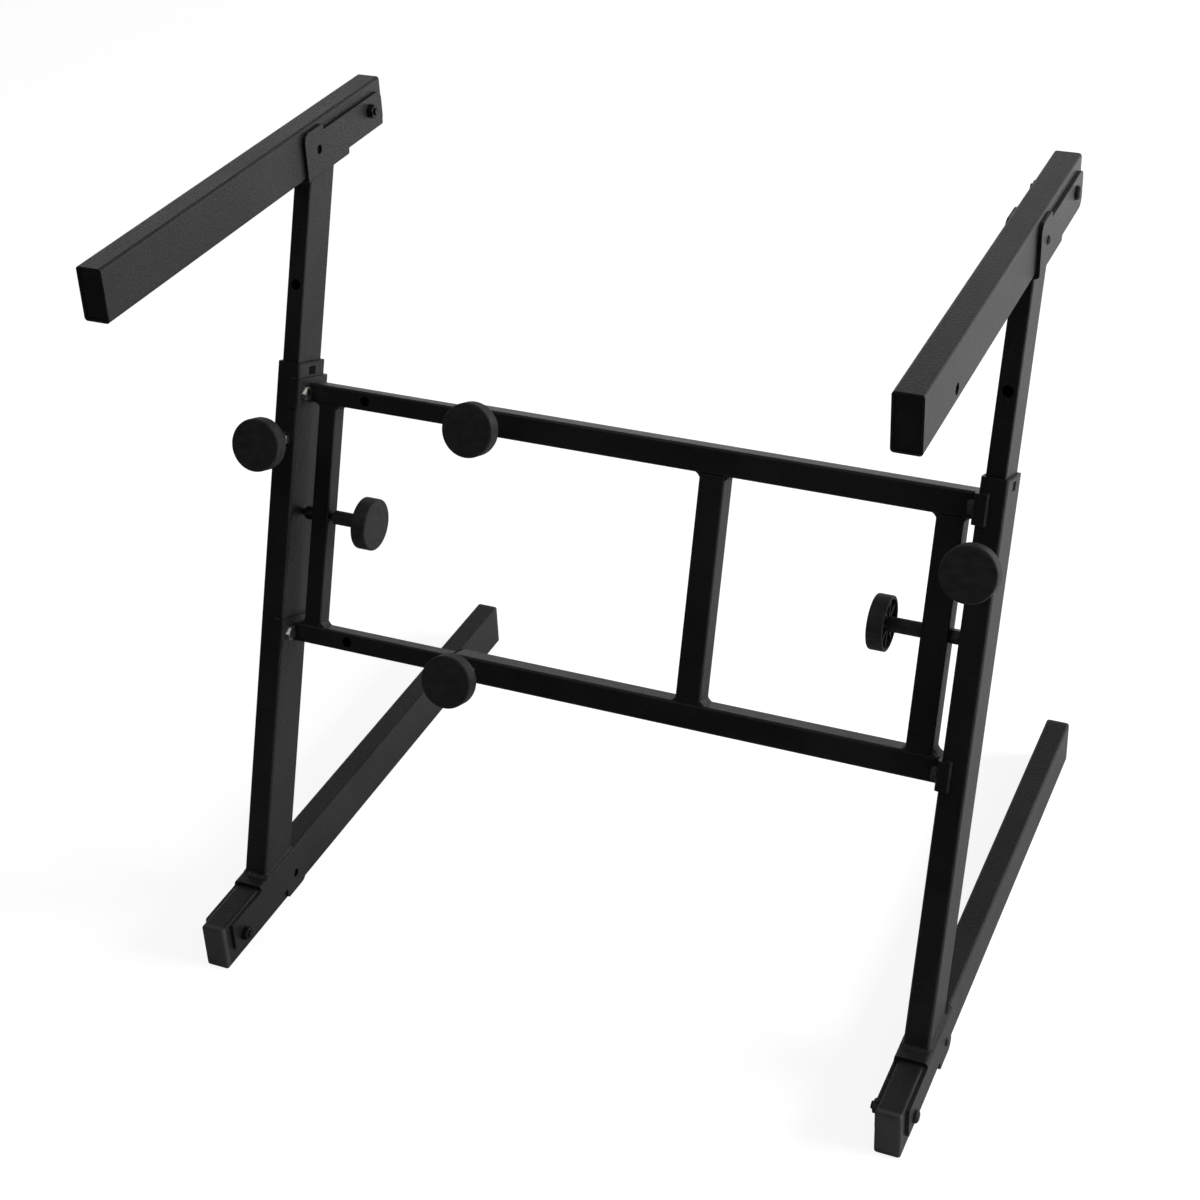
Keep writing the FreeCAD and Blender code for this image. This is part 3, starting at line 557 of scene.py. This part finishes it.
def lip_weld(side, row, dice):
    """The bead along a plate's lip, on the front of its column. Its stations are in millimetres."""
    lip = [(at - LIP_RETURN, LIP_HALF_HIGH, 90) for at in range(LIP_RETURN)]
    lip += [(0, LIP_HALF_HIGH, bend) for bend in (90, 60, 30)]
    lip += [(0, LIP_HALF_HIGH - LIP_STEP * at, 0) for at in range(1, LIP_STEPS)]
    lip += [(0, -LIP_HALF_HIGH, bend) for bend in (-30, -60, -90)]
    lip += [(-at, -LIP_HALF_HIGH, -90) for at in range(1, LIP_RETURN + 1)]
    line = []
    for x, rise, bend in lip:
        bend = math.radians(bend)
        corner_point = Vector((side.way * (LIP_EDGE + x) * MM, -COLUMN_HALF_DEEP, row + rise * MM))
        out = Vector((side.way * math.cos(bend), 0, math.sin(bend)))
        line.append((leaning @ corner_point, leaning.to_3x3() @ out, forward))
    return bead(line, LIP_LEGS, THIN_SINK, dice)


print("a lip is", 2 * LIP_HALF_HIGH, "mm high")

# %% [markdown]
# Each column and mast leans, but the web of its bracket is level, so the bead between them goes round a
# level cut through the tube. Such a cut is as wide as the tube, and deeper than it because of the slant.

# %% Weld the brackets
Cut = namedtuple("Cut", "back up half_wide half_deep corner")
COLUMN_CUT = Cut(-159.67 * MM, 42.8 * MM, 10 * MM, 21.28 * MM, 2.5 * MM)
COLUMN_LEGS, COLUMN_SINK = (1.9 * MM, 2.2 * MM), 1.2 * MM
MAST_CUT = Cut(34.65 * MM, 576.7 * MM, 7.5 * MM, 18.62 * MM, 1.75 * MM)
MAST_LEGS, MAST_SINK = (2.4 * MM, 3.0 * MM), 0.8 * MM


def bracket_weld(side, cut, along_tube, legs, sink, dice):
    """The bead round a leaning tube, on the level web of its bracket."""
    middle = Matrix.Translation((side.way * COLUMN_AT, cut.back, cut.up))
    line = [(middle @ point, out, along_tube)
            for point, out in round_tube(cut.half_wide, cut.half_deep, cut.corner)]
    return bead(line, legs, sink, dice, closed=True)


print("a column's cut is", round(2000 * COLUMN_CUT.half_deep, 2), "mm deep")

# %% [markdown]
# The dice have a fixed seed and the beads are laid in a fixed order, so every run gives the same ripples.

# %% Lay the welds
dice = random.Random(7)
for name, side in SIDES.items():
    laid = []
    for post_at in side.posts_at:
        laid += post_welds(post_at, side.bar_half, dice)
    laid += [bar_weld(side, row, dice) for row in BAR_ROWS]
    foot = bracket_weld(side, COLUMN_CUT, up_the_column, COLUMN_LEGS, COLUMN_SINK, dice)
    add_piece(f"{name}_column_weld", *foot, f"{name}_side", "powder_coat")
    head = bracket_weld(side, MAST_CUT, -up_the_column, MAST_LEGS, MAST_SINK, dice)
    add_piece(f"{name}_mast_weld", *head, f"{name}_mast", "powder_coat")
    laid += [lip_weld(side, row, dice) for row in BAR_ROWS]
    add_piece(f"{name}_ladder_welds", *merge(laid), f"{name}_side", "powder_coat")
    print(name, "welds:", len(laid), "on the ladder, two on the brackets")

# %% [markdown]
# ## Cut threads
# The knobs turn on M6 rods with a pitch of one millimetre. A thread is a height that depends on the place
# along the rod and on the angle round it together: one turn moves the crest on by one pitch. Both ends of
# the rod are cut back to a cone, as a turned thread's are.

# %% Shape a thread
PITCH, CREST, ROOT = 1.0 * MM, 3.0 * MM, 2.42 * MM
STEEP, SUNK = 1.25, 0.05
END_BELOW_ROOT = 0.2 * MM
SPOKES, ROWS_A_PITCH = 28, 8


def thread_radius(at, share_of_turn, from_end):
    """The radius at a place along the rod and round it: flat crests and roots with slopes between."""
    phase = (at / PITCH + share_of_turn) % 1.0
    height = min(1.0, max(0.0, STEEP * abs(2 * phase - 1) - SUNK))
    return min(ROOT + (CREST - ROOT) * height, ROOT - END_BELOW_ROOT + from_end)


def ring_of(middle, first_way, second_way, radii):
    """A ring of points round a middle, evenly spread, one at each radius."""
    ring = []
    for index, radius in enumerate(radii):
        angle = math.radians(360 / len(radii) * index)
        ring.append(middle + radius * (math.cos(angle) * first_way + math.sin(angle) * second_way))
    return ring


print("a thread is", round((CREST - ROOT) / MM, 2), "mm deep")

# %% [markdown]
# The CAD rod gives its own axis and length, so the thread lies exactly where the rod does.


# %% Cut the threads
def cut_thread(rod, along):
    """A threaded rod in the place of a plain one, whose length runs along a direction."""
    corners = [rod.matrix_world @ vertex.co for vertex in rod.data.vertices]
    reach = [corner_point @ along for corner_point in corners]
    start, end = min(reach), max(reach)
    middle = sum(corners, Vector()) / len(corners)
    middle -= (middle @ along) * along
    side_way = along.orthogonal().normalized()
    top_way = along.cross(side_way)
    rows = round((end - start) / (PITCH / ROWS_A_PITCH))
    rings = []
    for row in range(rows + 1):
        at = start + (end - start) * row / rows
        from_end = min(at - start, end - at)
        radii = [thread_radius(at, spoke / SPOKES, from_end) for spoke in range(SPOKES)]
        rings.append(ring_of(middle + at * along, side_way, top_way, radii))
    return swept(rings, False)


threaded = {f"{level}_width_knob": forward for level in ("upper", "lower")}
threaded.update({f"{name}_height_knob": forward for name in SIDES})
threaded.update({f"{name}_tie_knob": Vector((1, 0, 0)) for name in SIDES})
for name, along in threaded.items():
    thread = cut_thread(frame["nodes"][f"{name}_rod"], along)
    piece = add_piece(f"{name}_thread", *thread, name, dressed[f"{name}_rod"])
    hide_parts(f"{name}_rod")
print("threads:", len(threaded), "rods")

# %% [markdown]
# ## Hexagon heads and nuts
# A bolt's head is forged as a hexagon and then turned, so a cone takes off the tips of its six corners and
# leaves the curved edges seen on every nut. The radius at each angle is the smaller of the hexagon's and the
# cone's. The round shank of a bolt and the bore of a nut come from the same rule, with a limit so small that
# the hexagon never matters.

# %% Turn a hexagon
ACROSS, TURNED_STEP = 10 * MM, 10
TIP = ACROSS / 2 / math.cos(math.radians(30))
HEAD_HIGH, SHANK_LONG = 4 * MM, 4 * MM
CONE = [(0.80, 1.0), (0.87, 0.955), (0.94, 0.91), (1.0, 0.86)]
UNDERSIDE = [(0.0, 0.94), (0.08, 1.0)]


def hexagon(seat, axis, flat_way, rows, closed):
    """A hexagon with one flat facing flat_way. Each row is a height and a limit to the radius."""
    rings = []
    for lift, limit in rows:
        radii = [min(ACROSS / 2 / math.cos(math.radians((degrees + 30) % 60 - 30)), limit)
                 for degrees in range(0, 360, TURNED_STEP)]
        rings.append(ring_of(seat + lift * axis, flat_way, axis.cross(flat_way), radii))
    return swept(rings, closed)


def bolt_head(seat, axis, flat_way):
    """A head with its shank below it."""
    rows = [(-SHANK_LONG, CREST), (0.0, CREST), (0.0, TIP)]
    rows += [(HEAD_HIGH * lift, TIP * share) for lift, share in CONE]
    return hexagon(seat, axis, flat_way, rows, False)


def nut(seat, axis, flat_way, high):
    """A nut with its bore, chamfered on both faces."""
    rows = [(high * lift, TIP * share) for lift, share in UNDERSIDE + CONE]
    return hexagon(seat, axis, flat_way, [(0.0, CREST)] + rows + [(high, CREST)], True)


print("a hexagon is", round(2 * TIP / MM, 2), "mm over its tips")

# %% [markdown]
# The heads hold the plates, and the knobs' rods turn in the nuts. Each head on the left is turned so that
# one of its flats faces about halfway between the camera and the lamp on the front left, which makes it
# glint as in the photograph. The heads on the right are turned alike, but are black and in the shade.

# %% Set the heads and nuts
NUT_HIGH, TIE_NUT_HIGH = 5 * MM, 8 * MM
HEIGHT_NUT_UP, WIDTH_NUT_AT, WIDE_BAR_FRONT = 404 * MM, -107 * MM, -10 * MM
TIE_NUTS_AT = {"right": 260.2 * MM, "left": -257.7 * MM}
TIE_NUT_UP = 344.1 * MM
HEADS_TURNED = 30
tilted = Matrix.Rotation(math.radians(HEADS_TURNED), 3, "X") @ forward

for name, side in SIDES.items():
    inward = Vector((-side.way, 0, 0))
    seats = [leaning @ Vector((side.way * PLATE_FACE, end * side.bolts_beside, row))
             for row in BAR_ROWS for end in (-1, 1)]
    heads = [bolt_head(seat, inward, tilted) for seat in seats]
    finish = "black_steel" if side.way > 0 else "zinc"
    piece = add_piece(f"{name}_hexagon_bolts", *merge(heads), f"{name}_side", finish, smooth=False)
    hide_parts(f"{name}_plate_bolts")
    seats = [leaning @ Vector((side.way * COLUMN_AT, -COLUMN_HALF_DEEP, HEIGHT_NUT_UP))]
    if side.way > 0:
        seats += [leaning @ Vector((WIDTH_NUT_AT, WIDE_BAR_FRONT, row)) for row in BAR_ROWS]
    nuts = [nut(seat, forward, Vector((1, 0, 0)), NUT_HIGH) for seat in seats]
    piece = add_piece(f"{name}_turned_nuts", *merge(nuts), f"{name}_side", "zinc", smooth=False)
    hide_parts(f"{name}_nuts")
    tie_nut = nut(leaning @ Vector((TIE_NUTS_AT[name], 0, TIE_NUT_UP)), -inward, tilted, TIE_NUT_HIGH)
    piece = add_piece(f"{name}_turned_tie_nut", *tie_nut, f"{name}_side", "black_steel", smooth=False)
    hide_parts(f"{name}_tie_nut")
print("hexagons: eight heads and six nuts")

# %% [markdown]
# ## The studio
# The photograph was made on a white sweep with the room dark behind the camera. So the flats that mirror
# the floor are greyest, and the ones that mirror the room are almost black. Light Path tells the rays that
# show the background from those that light the stand: the first see white below and dim grey above, and the
# second see a plain grey world.


# %% Light the room
def picture_rays(finish):
    """1 for the rays that show the background: seen directly, in gloss, or through glass."""
    seen, glossy, through = (finish.node("ShaderNodeLightPath", output=name)
                             for name in ("Is Camera Ray", "Is Glossy Ray", "Is Transmission Ray"))
    return finish.node("ShaderNodeMath", {"operation": "MAXIMUM"}, {0: seen + glossy, 1: through})


def grey(level):
    """A colour without a tint."""
    return (level, level, level)


WHITE, DIM, PLAIN = grey(1.0), grey(0.16), grey(0.20)
DIM_FROM, DIM_TO = 0.28, 0.50
world = bpy.data.worlds.new("studio")
bpy.context.scene.world = world
world.use_nodes = True
room = Finish(world.node_tree)
direction = room.node("ShaderNodeTexCoord", output="Generated")
upward = room.node("ShaderNodeSeparateXYZ", {}, {0: direction}, "Z")
shown = room.node("ShaderNodeBackground", {}, {"Color": blend(WHITE, DIM, spread(upward, DIM_FROM, DIM_TO))})
lit = room.node("ShaderNodeBackground", {}, {"Color": PLAIN})
mixed = room.node("ShaderNodeMixShader", {}, {0: picture_rays(room), 1: lit, 2: shown})
room.node("ShaderNodeOutputWorld", {}, {"Surface": mixed})
print("the room dims from", round(math.degrees(math.asin(DIM_FROM))), "degrees up")

# %% [markdown]
# The sweep is shown in the same way. Most of its white is its own glow, and a weak diffuse shader under that
# lets the stand's shadow through. To the rays that light the stand it is plain pale paper.

# %% Lay the sweep
PAPER, SHADED_LOW, SHADED_HIGH, GLOW = grey(0.80), grey(0.30), grey(0.32), 0.86

sweep = new_finish("sweep")
mottle = sweep.noise(3.0, detail=2.0)
lit = sweep.node("ShaderNodeBsdfDiffuse", {}, {"Color": PAPER})
soft = sweep.node("ShaderNodeBsdfDiffuse", {}, {"Color": blend(SHADED_LOW, SHADED_HIGH, mottle)})
glow = sweep.node("ShaderNodeEmission", {}, {"Color": WHITE, "Strength": GLOW})
shown = sweep.node("ShaderNodeAddShader", {}, {0: soft, 1: glow})
mixed = sweep.node("ShaderNodeMixShader", {}, {0: picture_rays(sweep), 1: lit, 2: shown})
sweep.node("ShaderNodeOutputMaterial", {}, {"Surface": mixed})


def stand_in(name, rows, finish):
    """A sheet through rows of points, as part of the studio."""
    mesh = bpy.data.meshes.new(name)
    wide = len(rows[0])
    faces = [(row * wide + at, row * wide + at + 1, (row + 1) * wide + at + 1, (row + 1) * wide + at)
             for row in range(len(rows) - 1) for at in range(wide - 1)]
    mesh.from_pydata([point for row in rows for point in row], [], faces)
    sheet = bpy.data.objects.new(name, mesh)
    sheet.data.materials.append(finishes[finish])
    bpy.context.scene.collection.objects.link(sheet)
    return sheet


def level_rows(xs, ys, height):
    """The rows of a level sheet."""
    return [[(x, y, height) for x in xs] for y in ys]


stand_in("floor", level_rows((-30, -3, 3, 30), (-30, -3, 3, 30), 0.0), "sweep")
print("the sweep is 60 m square")

# %% [markdown]
# Black gloss shows what stands round it, so the photograph tells what did. The fronts of the columns mirror
# something dark in front: here a flag, and an apron on the floor. Their flanks and the tops of the bars
# mirror something grey: a mat on the floor, and a curtain at the back left.

# %% Make the cloth
DARK_LOW, DARK_HIGH = grey(0.004), grey(0.007)
FELT_SHADE_NEAR, FELT_FAR = grey(0.42), grey(0.56)
FADE_FROM, FADE_TO, FADE_MOTTLE = 0.1, 1.0, 0.1

cloth = new_finish("dark_cloth")
weave = cloth.noise(400.0)
principled(cloth, Base_Color=blend(DARK_LOW, DARK_HIGH, weave), Roughness=0.9)

felt = new_finish("grey_felt")
back = felt.node("ShaderNodeSeparateXYZ", {}, {0: felt.here()}, "Y")
# The felt is darker towards the stand: painted shade of the stand on the floor, as the gloss sees it.
fade = spread(back + FADE_MOTTLE * felt.noise(2.0), FADE_FROM, FADE_TO)
principled(felt, Base_Color=blend(FELT_SHADE_NEAR, FELT_FAR, fade), Roughness=0.9, Specular_IOR_Level=0.1)
print("cloth: one dark and one grey")

# %% [markdown]
# The flag and the curtain hang in arcs round the stand. Only gloss sees the four sheets, so they take no
# light from the stand and no white from the picture.

# %% Hang the cloth
FLAG_FAR, FLAG_ARC, FLAG_HEIGHTS = 3.2, range(-95, 46, 10), (-0.02, 0.7, 1.5, 2.4)
CURTAIN_FAR, CURTAIN_ARC, CURTAIN_HEIGHTS = 3.4, range(-196, -119, 7), (-0.02, 0.6, 1.2)
APRON_HIGH, MAT_HIGH = 0.002, 0.0015


def arc_rows(far, arc, heights):
    """The rows of a sheet that hangs in an arc: 0 degrees is in front of the stand, and -90 on its left."""
    angles = [math.radians(angle) for angle in arc]
    return [[(far * math.sin(angle), -far * math.cos(angle), height) for angle in angles]
            for height in heights]


sheets = [
    stand_in("flag", arc_rows(FLAG_FAR, FLAG_ARC, FLAG_HEIGHTS), "dark_cloth"),
    stand_in("apron", level_rows((-3.0, 0.0, 3.0), (-3.2, -1.8, -0.46), APRON_HIGH), "dark_cloth"),
    stand_in("mat", level_rows((-2.4, 0.0, 2.4), (-0.46, 0.4, 1.6), MAT_HIGH), "grey_felt"),
    stand_in("curtain", arc_rows(CURTAIN_FAR, CURTAIN_ARC, CURTAIN_HEIGHTS), "grey_felt"),
]
for sheet in sheets:
    sheet.visible_camera = sheet.visible_diffuse = False
    sheet.visible_shadow = sheet.visible_transmission = False
print("sheets that only gloss sees:", ", ".join(sheet.name for sheet in sheets))

# %% [markdown]
# A large soft lamp on the right lights the flanks, and two weak ones on the left keep the front and the back
# from going black. Only the fill, high on the front left, shows in gloss, as the glint on the bolts.

# %% Set the lamps
AIM = Vector((0, 0, 0.3))
Lamp = namedtuple("Lamp", "at wide watts")
LAMPS = {
    "key": Lamp((2.9, 0.6, 1.1), 1.8, 150.0),
    "fill": Lamp((-1.3, -1.3, 2.7), 1.0, 5.0),
    "back": Lamp((-1.4, 2.4, 1.9), 1.4, 5.0),
}
for name, made in LAMPS.items():
    light = bpy.data.lights.new(name, "AREA")
    light.shape, light.size, light.energy = "SQUARE", made.wide, made.watts
    lamp = bpy.data.objects.new(name, light)
    lamp.location = made.at
    lamp.visible_glossy = name == "fill"
    lamp.rotation_euler = (AIM - Vector(made.at)).to_track_quat("-Z", "Y").to_euler()
    bpy.context.scene.collection.objects.link(lamp)
bpy.context.scene.view_settings.view_transform = "Standard"
print("lamps:", ", ".join(LAMPS))
